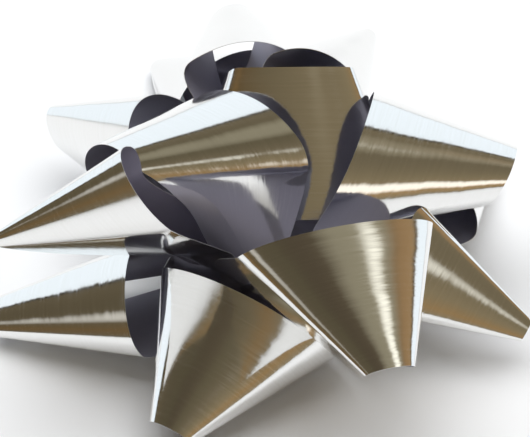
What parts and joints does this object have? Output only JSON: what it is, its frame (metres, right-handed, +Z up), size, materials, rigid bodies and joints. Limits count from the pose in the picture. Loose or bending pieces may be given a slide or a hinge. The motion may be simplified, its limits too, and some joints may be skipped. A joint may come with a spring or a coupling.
{
  "type": "gift bow",
  "caption": "Pre-made star gift bow of cone-shaped metallised ribbon loops, stapled to a round card with a foam adhesive pad and a peel-off liner.",
  "frame": {"origin": "centre of the release liner's flat underside, on the axis of the staple that gathers the loops", "axes": "+Z up, away from the present the bow is stuck to; -Y towards the front, the side of the steepest lower loops; +X to the right seen from the front"},
  "size_m": [0.1052, 0.1372, 0.0543],
  "materials": {
    "ribbon": "mirror-bright metallised film outside, matte violet-grey inside",
    "wire": "bright drawn wire",
    "card": "uncoated pressed card",
    "foam": "closed-cell foam with adhesive on both faces",
    "liner": "silicone-coated release paper, satin"
  },
  "bodies": {
    "bow": {"lower_loop_left": "ribbon", "lower_loop_front": "ribbon", "lower_loop_right": "ribbon", "lower_loop_back_right": "ribbon", "lower_loop_back_left": "ribbon", "middle_loop_front": "ribbon", "middle_loop_left": "ribbon", "middle_loop_back_left": "ribbon", "middle_loop_right": "ribbon", "upper_loop_back_right": "ribbon", "upper_loop_back": "ribbon", "upper_loop_left": "ribbon", "centre_loop": "ribbon", "staple": "wire", "backing_card": "card", "foam_pad": "foam"},
    "liner": {"release_liner": "liner"}
  },
  "joints": [
    {"name": "liner_peel", "type": "slide", "parent": "bow", "child": "liner", "axis": [0, 0, -1], "range_m": [0, 0.04]}
  ]
}
